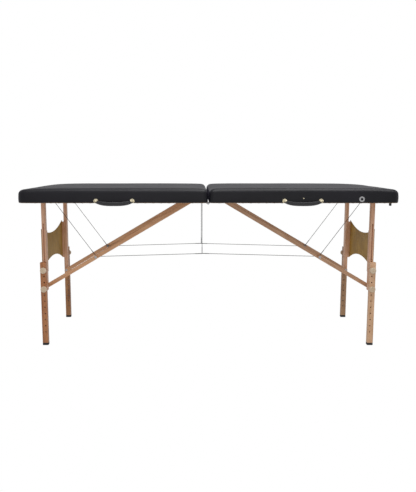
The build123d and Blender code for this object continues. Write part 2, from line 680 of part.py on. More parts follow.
def handle_mounts():
    """The brass brackets of the left handle: base plates, ears and pins."""
    with BuildPart() as mounts:
        for side in (-1, 1):
            x = -HANDLE_FROM_MIDDLE + side * HANDLE_MOUNTS_APART / 2
            with Locations((x, -SIDE - BASE_PLATE_THICKNESS / 2, HANDLE_AXIS_Z)):
                Cylinder(BASE_PLATE / 2, BASE_PLATE_THICKNESS, rotation=(90, 0, 0))
            inner = HANDLE_BARREL_LENGTH / 2 + EAR_GAP
            for ear_side in (-1, 1):
                ear = sorted((x + ear_side * inner, x + ear_side * (inner + EAR_THICKNESS)))
                bar_along(ear, HANDLE_AXIS_Y, HANDLE_AXIS_Z, EAR_RADIUS)
                block(
                    ear,
                    (SIDE, HANDLE_AXIS_Y),
                    (HANDLE_AXIS_Z - EAR_RADIUS, HANDLE_AXIS_Z + EAR_RADIUS),
                )
            bar_along((x - inner, x + inner), HANDLE_AXIS_Y, HANDLE_AXIS_Z, HANDLE_PIN_RADIUS)
    return mounts.part


# ---- accessory sockets and small trim ----------------------------------------------------------
def arm_bush(radius, depth, mode=Mode.ADD):
    """A round bar on the arm-rest sockets' line, on both sides of the right half."""
    for side in (1, -1):
        across = sorted((side * depth[0], side * depth[1]))
        cross_bar((ARM_SOCKET_X, SOCKET_Z), radius, across, mode=mode)


def head_bush(radius, x, mode=Mode.ADD):
    """A round bar on each face-cradle socket's line, in the right end rail."""
    for side in (1, -1):
        bar_along(x, side * HEAD_SOCKETS_APART / 2, SOCKET_Z, radius, mode=mode)


ARM_SOCKET_FOOT = RAIL_INNER - ARM_BLOCK_DEPTH
HEAD_SOCKET_FOOT = END - COVER_THICKNESS - RAIL_THICKNESS - HEAD_BLOCK_DEPTH


def sockets():
    """Steel bushes with flanges: two for arm rests at the sides, two for a face cradle."""
    with BuildPart() as bushes:
        arm_bush(SOCKET_OUTER_RADIUS, (ARM_SOCKET_FOOT, SIDE))
        arm_bush(SOCKET_FLANGE_RADIUS, (SIDE, SIDE + SOCKET_FLANGE_THICKNESS))
        arm_bush(
            SOCKET_BORE_RADIUS,
            (ARM_SOCKET_FOOT, SIDE + SOCKET_FLANGE_THICKNESS),
            mode=Mode.SUBTRACT,
        )
        head_bush(SOCKET_OUTER_RADIUS, (HEAD_SOCKET_FOOT, END))
        head_bush(SOCKET_BORE_RADIUS, (HEAD_SOCKET_FOOT, END), mode=Mode.SUBTRACT)
    return bushes.part


def socket_blocks():
    """The wooden blocks behind the rails that the socket bushes end in."""
    height = (UNDERSIDE_HEIGHT + BLOCK_FOOT_ABOVE, DECK_FOOT)
    with BuildPart() as blocks:
        half = ARM_BLOCK_LENGTH / 2
        for side in (1, -1):
            depth = sorted((side * ARM_SOCKET_FOOT, side * RAIL_INNER))
            block((ARM_SOCKET_X - half, ARM_SOCKET_X + half), depth, height)
            middle = side * HEAD_SOCKETS_APART / 2
            width = (middle - HEAD_BLOCK_WIDTH / 2, middle + HEAD_BLOCK_WIDTH / 2)
            block((HEAD_SOCKET_FOOT, HEAD_SOCKET_FOOT + HEAD_BLOCK_DEPTH), width, height)
        arm_bush(SOCKET_OUTER_RADIUS, (ARM_SOCKET_FOOT, RAIL_INNER), mode=Mode.SUBTRACT)
        head_bush(
            SOCKET_OUTER_RADIUS,
            (HEAD_SOCKET_FOOT, HEAD_SOCKET_FOOT + HEAD_BLOCK_DEPTH),
            mode=Mode.SUBTRACT,
        )
    return blocks.part


def with_socket_holes(piece):
    """A right-hand rail or cover, drilled for the socket bushes."""
    with BuildPart() as drilled:
        add(piece)
        arm_bush(SOCKET_OUTER_RADIUS, (ARM_SOCKET_FOOT, SIDE), mode=Mode.SUBTRACT)
        head_bush(SOCKET_OUTER_RADIUS, (HEAD_SOCKET_FOOT, END), mode=Mode.SUBTRACT)
    return drilled.part


def snap_stud():
    """The press stud on the right half's near side, above the handle."""
    point = (HANDLE_FROM_MIDDLE + SNAP_FROM_HANDLE, UNDERSIDE_HEIGHT + SNAP_ABOVE)
    with BuildPart() as stud:
        cross_bar(point, SNAP_RADIUS, (SIDE, SIDE + SNAP_HEIGHT / 3))
        cross_bar(point, SNAP_RADIUS * 0.6, (SIDE + SNAP_HEIGHT / 3, SIDE + SNAP_HEIGHT))
    return stud.part


def bumpers():
    """Two rubber buffers under the right half that rest on the left half when it is closed."""
    height = 2 * HINGE_AXIS_BELOW - BUMPER_EASE
    with BuildPart() as pair:
        for side in (1, -1):
            with Locations(
                (END - BUMPER_FROM_END, side * (SIDE - BUMPER_FROM_SIDE), UNDERSIDE_HEIGHT)
            ):
                Cylinder(BUMPER_RADIUS, height, align=(Align.CENTER, Align.CENTER, Align.MAX))
        fillet(pair.edges().group_by(Axis.Z)[0], BUMPER_RADIUS / 3)
    return pair.part


# ---- the whole table ---------------------------------------------------------------------------
cover_shell = cover()
save(cover_shell, "left_cover")
save(with_socket_holes(cover_shell.mirror(Plane.YZ)), "right_cover")
save_pair(foam(), "foam")
save_pair(deck(), "deck")

rail_pieces = rails()
save_group(rail_pieces, "left_rails")
right_rails = [with_socket_holes(rail.mirror(Plane.YZ)) for rail in rail_pieces]
save_group(right_rails, "right_rails")

corner_blocks = inner_blocks()
save(corner_blocks, "left_blocks")
with BuildPart() as right_blocks:
    add(corner_blocks.mirror(Plane.YZ))
    add(socket_blocks())
save(right_blocks.part, "right_blocks")

half_bolts = pivot_bolts()
with BuildPart() as left_bolts:
    add(half_bolts)
    add(drop_lugs())
save(left_bolts.part, "left_pivot_bolts")
save(half_bolts.mirror(Plane.YZ), "right_pivot_bolts")

save(hinge_leaves(0), "left_hinge_leaves")
save(hinge_leaves(1).mirror(Plane.YZ), "right_hinge_leaves")
save(hinge_pins(), "hinge_pins")

save_pair(posts(), "posts")
save_pair(end_panel(), "end_panel")
for side_name, is_far in (("near", False), ("far", True)):
    for piece, piece_name in (
        (lower_leg(), "lower_leg"),
        (foot_cap(), "foot_cap"),
        (clamp_studs(), "clamp_studs"),
        (clamp_knob(CLAMP_HEIGHTS[0]), "upper_knob"),
        (clamp_knob(CLAMP_HEIGHTS[1]), "lower_knob"),
    ):
        placed_piece = piece.mirror(Plane.XZ) if is_far else piece
        save_pair(placed_piece, f"{side_name}_{piece_name}")

save_pair(lower_links(), "lower_links")
save_pair(brace_bolts(), "brace_bolts")
upper_links = brace_links(
    KNEE,
    BRACE_TOP,
    (UPPER_LINK_INNER, UPPER_LINK_OUTER),
    (PIVOT_RADIUS, PIVOT_RADIUS + RUNNING_GAP),
)
save_pair(upper_links, "upper_links")
save(knee_bolts(LEFT_TIE_LAYER), "left_knee_bolts")
save(knee_bolts(RIGHT_TIE_LAYER).mirror(Plane.YZ), "right_knee_bolts")

save_pair(cables(STAY_ANCHOR, KNEE, STAY_LAYER, STAY_TIP_SHORT), "stay_cables")
save(cables(KNEE, TIE_MIDDLE, LEFT_TIE_LAYER), "left_tie_cables")
mirrored_middle = (-TIE_MIDDLE[0], TIE_MIDDLE[1])
right_ties = cables(KNEE, mirrored_middle, RIGHT_TIE_LAYER)
save(right_ties.mirror(Plane.YZ), "right_tie_cables")
save(cables(DROP_TOP, TIE_MIDDLE, DROP_LAYER), "drop_cables")

save_pair(handle(), "handle")
save_pair(handle_mounts(), "handle_mounts")
save(sockets(), "right_sockets")
save(snap_stud(), "snap_stud")
save(bumpers(), "bumpers")
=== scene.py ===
"""Looks of a portable massage table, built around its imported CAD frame."""

import json
import math

import bmesh
import bpy
from mathutils import Matrix, Vector, noise


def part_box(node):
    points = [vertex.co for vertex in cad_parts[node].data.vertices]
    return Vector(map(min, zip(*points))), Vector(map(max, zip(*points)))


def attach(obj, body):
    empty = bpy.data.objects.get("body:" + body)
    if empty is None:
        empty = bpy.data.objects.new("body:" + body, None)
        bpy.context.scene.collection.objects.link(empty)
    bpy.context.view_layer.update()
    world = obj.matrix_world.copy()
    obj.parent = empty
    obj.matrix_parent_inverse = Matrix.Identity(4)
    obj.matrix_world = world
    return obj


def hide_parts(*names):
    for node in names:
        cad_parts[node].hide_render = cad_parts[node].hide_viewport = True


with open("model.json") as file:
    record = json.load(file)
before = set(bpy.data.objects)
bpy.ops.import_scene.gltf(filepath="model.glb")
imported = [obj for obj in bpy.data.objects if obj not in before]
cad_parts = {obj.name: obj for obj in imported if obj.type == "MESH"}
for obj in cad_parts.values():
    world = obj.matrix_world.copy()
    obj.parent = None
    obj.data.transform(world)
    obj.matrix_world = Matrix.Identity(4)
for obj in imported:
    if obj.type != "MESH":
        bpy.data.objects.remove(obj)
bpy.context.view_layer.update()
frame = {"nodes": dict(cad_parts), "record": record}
SIDES = ("left", "right")
NEAR_FAR = ("near", "far")
MM = 0.001
node_body = {
    node: body
    for body, nodes in frame["record"]["behaviour"]["bodies"].items()
    for node in nodes
}

# ---- camera, lights and floor ------------------------------------------------------------------
IMAGE_WIDTH = 416
FOCAL_PIXELS = 596.9
SENSOR = 36.0
LOOK_DOWN = 0.1397
SKY_LIGHT = 0.42
FLOOR_LIGHT = 0.55


def middle_of(node):
    low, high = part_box(node)
    return (Vector(low) + Vector(high)) / 2


TABLE_MIDDLE_Y = middle_of("left_deck").y
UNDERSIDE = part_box("left_cover")[0][2]
COVER_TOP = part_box("left_cover")[1][2]


def make_camera():
    data = bpy.data.cameras.new("camera")
    data.sensor_fit = "HORIZONTAL"
    data.sensor_width = SENSOR
    data.lens = SENSOR * FOCAL_PIXELS / IMAGE_WIDTH
    data.shift_x = 0.0319
    camera = bpy.data.objects.new("camera", data)
    camera.location = (-0.0662, TABLE_MIDDLE_Y - 3.2269, 0.9224)
    camera.rotation_euler = (math.pi / 2 - LOOK_DOWN, 0, 0)
    bpy.context.scene.collection.objects.link(camera)
    bpy.context.scene.camera = camera


def area_light(name, place, aim, size, power, tint=(1, 1, 1)):
    data = bpy.data.lights.new(name, "AREA")
    data.shape = "RECTANGLE"
    data.size, data.size_y = size
    data.energy = power
    data.color = tint
    lamp = bpy.data.objects.new(name, data)
    lamp.location = place
    lamp.rotation_euler = (Vector(aim) - Vector(place)).to_track_quat("-Z", "Y").to_euler()
    bpy.context.scene.collection.objects.link(lamp)


def white_to_camera(tree, socket, light):
    """Full white where the camera sees it, and only this much light on the object."""
    path = tree.nodes.new("ShaderNodeLightPath")
    strength = tree.nodes.new("ShaderNodeMath")
    strength.operation = "MULTIPLY_ADD"
    strength.inputs[1].default_value = 1.0 - light
    strength.inputs[2].default_value = light
    tree.links.new(path.outputs["Is Camera Ray"], strength.inputs[0])
    tree.links.new(strength.outputs[0], socket)


def make_stage():
    world = bpy.data.worlds.new("studio")
    world.use_nodes = True
    backdrop = world.node_tree.nodes["Background"]
    backdrop.inputs["Color"].default_value = (1.0, 1.0, 1.0, 1)
    white_to_camera(world.node_tree, backdrop.inputs["Strength"], SKY_LIGHT)
    bpy.context.scene.world = world
    bpy.context.scene.view_settings.view_transform = "Standard"
    floor_mesh = bpy.data.meshes.new("floor")
    reach = 14.0
    floor_mesh.from_pydata(
        [(-reach, -reach, 0), (reach, -reach, 0), (reach, reach, 0), (-reach, reach, 0)],
        [],
        [(0, 1, 2, 3)],
    )
    floor = bpy.data.objects.new("floor", floor_mesh)
    bpy.context.scene.collection.objects.link(floor)
    paper = finish("floor_paper", (0, 0, 0), roughness=0.95)
    shader = paper.node_tree.nodes["Principled BSDF"]
    shader.inputs["Specular IOR Level"].default_value = 0.0
    shader.inputs["Emission Color"].default_value = (1, 1, 1, 1)
    white_to_camera(paper.node_tree, shader.inputs["Emission Strength"], FLOOR_LIGHT)
    floor_mesh.materials.append(paper)
    area_light("top_softbox", (0.4, -0.6, 3.4), (0, 0, 0.7), (3.6, 2.4), 92)
    area_light("front_strip", (-0.4, -3.6, 2.3), (0, 0, 0.6), (3.4, 0.8), 9)
    area_light("low_fill", (0.2, -3.4, 0.7), (0, 0, 0.35), (3.0, 1.0), 5)


# ---- materials ---------------------------------------------------------------------------------
def new_material(name):
    material = bpy.data.materials.new(name)
    material.use_nodes = True
    return material, material.node_tree, material.node_tree.nodes["Principled BSDF"]


def finish(name, colour, roughness=0.5, metallic=0.0):
    material, _, shader = new_material(name)
    shader.inputs["Base Color"].default_value = (*colour, 1)
    shader.inputs["Roughness"].default_value = roughness
    shader.inputs["Metallic"].default_value = metallic
    return material


def placed(tree, stretch, turn=(0, 0, 0), centre=(0, 0, 0)):
    """Object coordinates, centred, turned and stretched."""
    coordinates = tree.nodes.new("ShaderNodeTexCoord")
    mapping = tree.nodes.new("ShaderNodeMapping")
    mapping.vector_type = "TEXTURE"
    mapping.inputs["Location"].default_value = centre
    mapping.inputs["Rotation"].default_value = turn
    mapping.inputs["Scale"].default_value = stretch
    tree.links.new(coordinates.outputs["Object"], mapping.inputs["Vector"])
    return mapping.outputs["Vector"]


def ramp(tree, factor, stops):
    node = tree.nodes.new("ShaderNodeValToRGB")
    for spare in range(len(stops) - 2):
        node.color_ramp.elements.new(0.5)
    for element, (place, colour) in zip(node.color_ramp.elements, stops):
        element.position = place
        element.color = (*colour, 1) if len(colour) == 3 else colour
    tree.links.new(factor, node.inputs["Fac"])
    return node.outputs["Color"]


def grey_ramp(tree, factor, low, high, start=0.3, stop=0.7):
    return ramp(tree, factor, [(start, (low,) * 3), (stop, (high,) * 3)])


def bump(tree, height, strength, distance, under=None):
    node = tree.nodes.new("ShaderNodeBump")
    node.inputs["Strength"].default_value = strength
    node.inputs["Distance"].default_value = distance
    tree.links.new(height, node.inputs["Height"])
    if under:
        tree.links.new(under, node.inputs["Normal"])
    return node.outputs["Normal"]


def noise_map(tree, vector, scale, detail=4.0, distortion=0.0):
    node = tree.nodes.new("ShaderNodeTexNoise")
    node.inputs["Scale"].default_value = scale
    node.inputs["Detail"].default_value = detail
    node.inputs["Distortion"].default_value = distortion
    tree.links.new(vector, node.inputs["Vector"])
    return node.outputs["Fac"]


def mixed(tree, factor, a, b, blend="MIX"):
    node = tree.nodes.new("ShaderNodeMix")
    node.data_type = "RGBA"
    node.blend_type = blend
    for socket, value in ((node.inputs[0], factor), (node.inputs[6], a), (node.inputs[7], b)):
        if isinstance(value, bpy.types.NodeSocket):
            tree.links.new(value, socket)
        else:
            socket.default_value = value
    return node.outputs[2]


def wood(name, pale, dark, along="Z", turn=(0, 0, 0), gloss=0.42, centre=(0, 0, 0)):
    """Straight-grained wood: growth rings drawn out along one axis, fine pores and soft patches."""
    material, tree, shader = new_material(name)
    drawn = {"X": (14, 1, 1), "Y": (1, 14, 1), "Z": (1, 1, 14)}[along]
    grain_space = placed(tree, drawn, turn, centre)
    rings = noise_map(tree, grain_space, 95, detail=3, distortion=0.6)
    pores = noise_map(tree, placed(tree, tuple(v * 2 for v in drawn), turn, centre), 900, detail=2)
    patches = noise_map(tree, placed(tree, (1, 1, 1), turn, centre), 9, detail=2)
    colour = ramp(tree, rings, [(0.32, dark), (0.52, pale), (0.7, tuple(c * 0.9 for c in pale))])
    colour = mixed(tree, grey_ramp(tree, pores, 0.0, 0.28, 0.52, 0.75), colour, (*dark, 1))
    colour = mixed(tree, grey_ramp(tree, patches, 0.0, 0.35), colour, (*dark, 1), "MULTIPLY")
    tree.links.new(colour, shader.inputs["Base Color"])
    tree.links.new(grey_ramp(tree, rings, gloss + 0.12, gloss), shader.inputs["Roughness"])
    shader.inputs["Coat Weight"].default_value = 0.25
    shader.inputs["Coat Roughness"].default_value = 0.25
    tree.links.new(bump(tree, pores, 0.25, 0.0003), shader.inputs["Normal"])
    return material


def vinyl():
    """Upholstery vinyl: pebbled grain, faint creases and a satin bloom on the ridges."""
    material, tree, shader = new_material("black_vinyl")
    space = placed(tree, (1, 1, 1))
    pebbles = tree.nodes.new("ShaderNodeTexVoronoi")
    pebbles.feature = "SMOOTH_F1"
    pebbles.inputs["Scale"].default_value = 620
    tree.links.new(space, pebbles.inputs["Vector"])
    creases = noise_map(tree, placed(tree, (2.5, 1, 1)), 16, detail=6, distortion=0.4)
    bloom = noise_map(tree, space, 5, detail=3)
    colour = ramp(tree, bloom, [(0.3, (0.0065, 0.0062, 0.0085)), (0.7, (0.011, 0.0105, 0.0145))])
    tree.links.new(colour, shader.inputs["Base Color"])
    tree.links.new(grey_ramp(tree, creases, 0.34, 0.46), shader.inputs["Roughness"])
    shader.inputs["Sheen Weight"].default_value = 0.04
    shader.inputs["Sheen Tint"].default_value = (0.62, 0.58, 0.85, 1)
    shader.inputs["Specular IOR Level"].default_value = 0.27
    fine = bump(tree, pebbles.outputs["Distance"], 0.22, 0.0004)
    tree.links.new(bump(tree, creases, 0.35, 0.002, fine), shader.inputs["Normal"])
    return material


def board():
    """Olive stained board with a faint woven press mark."""
    material, tree, shader = new_material("olive_board")
    space = placed(tree, (1, 1, 6))
    fibres = noise_map(tree, space, 160, detail=5)
    patches = noise_map(tree, placed(tree, (1, 1, 1)), 11, detail=3)
    colour = ramp(tree, fibres, [(0.25, (0.34, 0.19, 0.022)), (0.75, (0.60, 0.355, 0.055))])
    stain = (0.36, 0.28, 0.10, 1)
    colour = mixed(tree, grey_ramp(tree, patches, 0.0, 0.45), colour, stain, "MULTIPLY")
    tree.links.new(colour, shader.inputs["Base Color"])
    shader.inputs["Roughness"].default_value = 0.55
    tree.links.new(bump(tree, fibres, 0.3, 0.0004), shader.inputs["Normal"])
    return material


def metal(name, colour, roughness, brushed=(1, 1, 8)):
    material, tree, shader = new_material(name)
    scratches = noise_map(tree, placed(tree, brushed), 700, detail=3)
    shader.inputs["Metallic"].default_value = 1.0
    tone = ramp(tree, scratches, [(0.3, tuple(c * 0.86 for c in colour)), (0.7, colour)])
    tree.links.new(tone, shader.inputs["Base Color"])
    gloss = grey_ramp(tree, scratches, roughness, roughness + 0.16)
    tree.links.new(gloss, shader.inputs["Roughness"])
    tree.links.new(bump(tree, scratches, 0.1, 0.0002), shader.inputs["Normal"])
    return material


def rubber():
    material, tree, shader = new_material("black_rubber")
    specks = noise_map(tree, placed(tree, (1, 1, 1)), 480, detail=4)
    colour = ramp(tree, specks, [(0.3, (0.008, 0.008, 0.008)), (0.7, (0.026, 0.026, 0.027))])
    tree.links.new(colour, shader.inputs["Base Color"])
    shader.inputs["Roughness"].default_value = 0.72
    tree.links.new(bump(tree, specks, 0.3, 0.0004), shader.inputs["Normal"])
    return material


def wire_rope(name, slope):
    """Black-coated wire rope: the strands show as slanting ridges along the run."""
    material, tree, shader = new_material(name)
    strands = tree.nodes.new("ShaderNodeTexWave")
    strands.wave_type = "BANDS"
    strands.bands_direction = "DIAGONAL"
    strands.inputs["Scale"].default_value = 160
    strands.inputs["Distortion"].default_value = 0.4
    tree.links.new(placed(tree, (1, 1, 1), (0, slope, 0)), strands.inputs["Vector"])
    stops = [(0.2, (0.003, 0.003, 0.0035)), (0.8, (0.011, 0.011, 0.0125))]
    colour = ramp(tree, strands.outputs["Fac"], stops)
    tree.links.new(colour, shader.inputs["Base Color"])
    shader.inputs["Roughness"].default_value = 0.38
    tree.links.new(bump(tree, strands.outputs["Fac"], 0.6, 0.0004), shader.inputs["Normal"])
    return material


def webbing():
    """Black woven strap: crossed ribs across the UV map's width."""
    material, tree, shader = new_material("black_strap")
    coordinates = tree.nodes.new("ShaderNodeTexCoord")
    heights = []
    for direction in ("X", "Y"):
        ribs = tree.nodes.new("ShaderNodeTexWave")
        ribs.bands_direction = direction
        ribs.inputs["Scale"].default_value = 55 if direction == "X" else 7
        tree.links.new(coordinates.outputs["UV"], ribs.inputs["Vector"])
        heights.append(ribs.outputs["Fac"])
    weave = mixed(tree, 0.5, heights[0], heights[1], "MULTIPLY")
    colour = ramp(tree, weave, [(0.1, (0.009, 0.009, 0.011)), (0.9, (0.04, 0.038, 0.046))])
    tree.links.new(colour, shader.inputs["Base Color"])
    shader.inputs["Roughness"].default_value = 0.5
    shader.inputs["Sheen Weight"].default_value = 0.2
    tree.links.new(bump(tree, weave, 0.5, 0.0005), shader.inputs["Normal"])
    return material


# ---- pieces ------------------------------------------------------------------------------------
def piece_from(name, mesh, body, material=None, smooth=True):
    piece = bpy.data.objects.new(name, mesh)
    bpy.context.scene.collection.objects.link(piece)
    if material:
        mesh.materials.clear()
        mesh.materials.append(material)
    for face in mesh.polygons:
        face.use_smooth = smooth
    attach(piece, body)
    return piece


def baked(piece):
    """The piece's mesh with its modifiers applied, as a plain mesh."""
    depsgraph = bpy.context.evaluated_depsgraph_get()
    mesh = bpy.data.meshes.new_from_object(piece.evaluated_get(depsgraph))
    bpy.data.objects.remove(piece)
    return mesh


def eased(node, name, material, width=0.0011):
    """A copy of a CAD node with its sharp edges eased, in place of the node."""
    work = bmesh.new()
    work.from_mesh(frame["nodes"][node].data)
    bmesh.ops.remove_doubles(work, verts=work.verts, dist=2e-6)
    bmesh.ops.dissolve_limit(
        work, angle_limit=math.radians(1.0), verts=work.verts, edges=work.edges, delimit={"NORMAL"}
    )
    mesh = bpy.data.meshes.new(name)
    work.to_mesh(mesh)
    work.free()
    rough = bpy.data.objects.new(name + "_work", mesh)
    bpy.context.scene.collection.objects.link(rough)
    bevel = rough.modifiers.new("eased", "BEVEL")
    bevel.width = width
    bevel.segments = 2
    bevel.limit_method = "ANGLE"
    bevel.angle_limit = math.radians(50)
    bevel.harden_normals = True
    for face in mesh.polygons:
        face.use_smooth = True
    piece = piece_from(name, baked(rough), node_body[node], material)
    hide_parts(node)
    return piece


# ---- padded halves -----------------------------------------------------------------------------
PAD_EDGE = 24 * MM
PAD_CORNER = 40 * MM
PAD_INNER_CORNER = 25 * MM
STAPLE_START = 50 * MM
END_FALL_LENGTH = 75 * MM
MIDDLE_FALL_LENGTH = 30 * MM
BUFFER_ROOM = 6 * MM
BUFFER_REACH = 25 * MM
PAD_CROWN = 2.5 * MM
PAD_FLANGE = 14 * MM
PAD_STEP = 11 * MM
END_FALL = 9 * MM
MIDDLE_FALL = 5 * MM


def edge_steps(low, high):
    """Places across the pad: close together over the rounded edges and even between them."""
    arc = [PAD_EDGE * (1 - math.cos(math.pi / 2 * k / 8)) for k in range(8)]
    count = round((high - low - 2 * PAD_EDGE) / PAD_STEP)
    flat = [low + PAD_EDGE + (high - low - 2 * PAD_EDGE) * k / count for k in range(count + 1)]
    return [low + a for a in arc] + flat + [high - a for a in reversed(arc)]


def rounded_plan(x, y, low, high, outward):
    """Moves a point of a rectangle into the same rectangle with rounded corners."""
    for near_x, sign_x in ((low.x, 1), (high.x, -1)):
        radius = PAD_INNER_CORNER if sign_x == outward else PAD_CORNER
        for near_y, sign_y in ((low.y, 1), (high.y, -1)):
            dx = radius - (x - near_x) * sign_x
            dy = radius - (y - near_y) * sign_y
            if dx > 0 and dy > 0:
                scale = max(dx, dy) / math.hypot(dx, dy)
                x = near_x + (radius - dx * scale) * sign_x
                y = near_y + (radius - dy * scale) * sign_y
    return x, y


def outward_of(x, y, low, high, outward):
    """The plan direction that points out of the pad at a point of its rim."""
    low_radius, high_radius = PAD_CORNER, PAD_CORNER
    if outward > 0:
        low_radius = PAD_INNER_CORNER
    else:
        high_radius = PAD_INNER_CORNER
    radius = low_radius if x < (low.x + high.x) / 2 else high_radius
    out = Vector((x - max(low.x + low_radius, min(x, high.x - high_radius)),
                  y - max(low.y + radius, min(y, high.y - radius)), 0))
    return out.normalized() if out.length > 1e-9 else Vector((0, 0, 0))


def pad(side):
    low, high = (Vector(corner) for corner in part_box(side + "_cover"))
    outward = -1 if side == "left" else 1
    xs, ys = edge_steps(low.x, high.x), edge_steps(low.y, high.y)
    work = bmesh.new()
    grid = []
    for gx in xs:
        column = []
        for gy in ys:
            x, y = rounded_plan(gx, gy, low, high, outward)
            edge = min(gx - low.x, high.x - gx, gy - low.y, high.y - gy)
            from_end = (high.x - gx) if outward > 0 else (gx - low.x)
            from_middle = (high.x - low.x) - from_end
            drop = PAD_EDGE - math.sqrt(max(0, PAD_EDGE**2 - max(0, PAD_EDGE - edge) ** 2))
            u, v = (gx - low.x) / (high.x - low.x), (gy - low.y) / (high.y - low.y)
            crown = PAD_CROWN * (16 * u * (1 - u) * v * (1 - v)) ** 0.5
            fall = END_FALL * math.exp(-from_end / END_FALL_LENGTH)
            fall += MIDDLE_FALL * math.exp(-from_middle / MIDDLE_FALL_LENGTH)
            z = high.z - PAD_CROWN - drop - fall * min(1, 1 - 0.5 * drop / PAD_EDGE) + crown
            dimple = noise.noise((gx * 7, gy * 7, 3.1 + outward)) * 0.7 * MM
            column.append(work.verts.new((x, y, z + dimple * min(1, edge / PAD_EDGE))))
        grid.append(column)
    for i in range(len(xs) - 1):
        for j in range(len(ys) - 1):
            work.faces.new((grid[i][j], grid[i + 1][j], grid[i + 1][j + 1], grid[i][j + 1]))
    rim = (
        [column[0] for column in grid]
        + grid[-1][1:]
        + [column[-1] for column in reversed(grid[:-1])]
        + list(reversed(grid[0][1:-1]))
    )
    centre = (low + high) / 2
    above, rows = rim, 9
    for row in range(1, rows + 3):
        below = []
        for top in rim:
            x, y, z = top.co
            share = min(row / rows, 1)
            out = outward_of(x, y, low, high, outward)
            bulge = math.sin(math.pi * min(share, 1)) * 1.3 * MM
            pucker = noise.noise((x * 26, y * 26, share * 1.6)) * 1.1 * MM * share
            height = z + (low.z - z) * share
            place = Vector((x, y, height)) + out * (bulge + pucker * (1 - share**4))
            if row == rows:
                place -= out * 1.5 * MM
            if row > rows:
                place -= out * (PAD_FLANGE * (row - rows) / 2 + 1.5 * MM)
                place.z = low.z + 0.2 * MM
            below.append(work.verts.new(place))
        for k in range(len(rim)):
            n = (k + 1) % len(rim)
            work.faces.new((above[k], below[k], below[n], above[n]))
        above = below
    bmesh.ops.recalc_face_normals(work, faces=work.faces)
    mesh = bpy.data.meshes.new(side + "_pad")
    work.to_mesh(mesh)
    work.free()
    rough = bpy.data.objects.new(side + "_pad_work", mesh)
    bpy.context.scene.collection.objects.link(rough)
    wall = rough.modifiers.new("wall", "SOLIDIFY")
    wall.thickness = 1.0 * MM
    wall.offset = -1
    fine = rough.modifiers.new("fine", "SUBSURF")
    fine.levels = fine.render_levels = 1
    piece = piece_from(side + "_pad", baked(rough), side + "_half", VINYL)
    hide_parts(side + "_cover", side + "_foam")
    return piece


# ---- repeated fasteners and stitches -----------------------------------------------------------
def link(tree, source, target):
    tree.links.new(source, target)


def repeat_tree(name, kind):
    """A tree that sets one small solid on every point, turned to the point's own direction."""
    tree = bpy.data.node_groups.new(name, "GeometryNodeTree")
    interface = tree.interface
    interface.new_socket("Points", in_out="INPUT", socket_type="NodeSocketGeometry")
    for label in ("Radius", "Height"):
        interface.new_socket(label, in_out="INPUT", socket_type="NodeSocketFloat")
    interface.new_socket("Finish", in_out="INPUT", socket_type="NodeSocketMaterial")
    interface.new_socket("Solids", in_out="OUTPUT", socket_type="NodeSocketGeometry")
    nodes = tree.nodes
    entry, leave = nodes.new("NodeGroupInput"), nodes.new("NodeGroupOutput")
    solid = nodes.new("GeometryNodeMeshUVSphere")
    solid.inputs["Segments"].default_value = 16 if kind == "dome" else 8
    solid.inputs["Rings"].default_value = 8 if kind == "dome" else 6
    link(tree, entry.outputs["Radius"], solid.inputs["Radius"])
    ratio = nodes.new("ShaderNodeMath")
    ratio.operation = "DIVIDE"
    link(tree, entry.outputs["Height"], ratio.inputs[0])
    link(tree, entry.outputs["Radius"], ratio.inputs[1])
    size = nodes.new("ShaderNodeCombineXYZ")
    size.inputs["X"].default_value = 1
    size.inputs["Y"].default_value = 1
    link(tree, ratio.outputs[0], size.inputs["Z"])
    shape = nodes.new("GeometryNodeTransform")
    link(tree, solid.outputs["Mesh"], shape.inputs["Geometry"])
    link(tree, size.outputs[0], shape.inputs["Scale"])
    aim = nodes.new("GeometryNodeInputNamedAttribute")
    aim.data_type = "FLOAT_VECTOR"
    aim.inputs["Name"].default_value = "aim"
    turn = nodes.new("FunctionNodeAlignRotationToVector")
    turn.axis = "Z"
    link(tree, aim.outputs["Attribute"], turn.inputs["Vector"])
    spread = nodes.new("GeometryNodeInstanceOnPoints")
    link(tree, entry.outputs["Points"], spread.inputs["Points"])
    link(tree, shape.outputs["Geometry"], spread.inputs["Instance"])
    link(tree, turn.outputs["Rotation"], spread.inputs["Rotation"])
    real = nodes.new("GeometryNodeRealizeInstances")
    link(tree, spread.outputs["Instances"], real.inputs["Geometry"])
    paint = nodes.new("GeometryNodeSetMaterial")
    link(tree, real.outputs["Geometry"], paint.inputs["Geometry"])
    link(tree, entry.outputs["Finish"], paint.inputs["Material"])
    link(tree, paint.outputs["Geometry"], leave.inputs["Solids"])
    return tree


def repeated(name, tree, spots, radius, height, body, slot, material):
    """Small solids at spots, which are pairs of place and direction."""
    mesh = bpy.data.meshes.new(name)
    mesh.from_pydata([place for place, _ in spots], [], [])
    aims = mesh.attributes.new("aim", "FLOAT_VECTOR", "POINT")
    for item, (_, direction) in zip(aims.data, spots):
        item.vector = direction
    rough = bpy.data.objects.new(name + "_work", mesh)
    bpy.context.scene.collection.objects.link(rough)
    maker = rough.modifiers.new("repeat", "NODES")
    maker.node_group = tree
    identifiers = {item.name: item.identifier for item in tree.interface.items_tree}
    maker[identifiers["Radius"]] = radius
    maker[identifiers["Height"]] = height
    maker[identifiers["Finish"]] = material
    return piece_from(name, baked(rough), body)


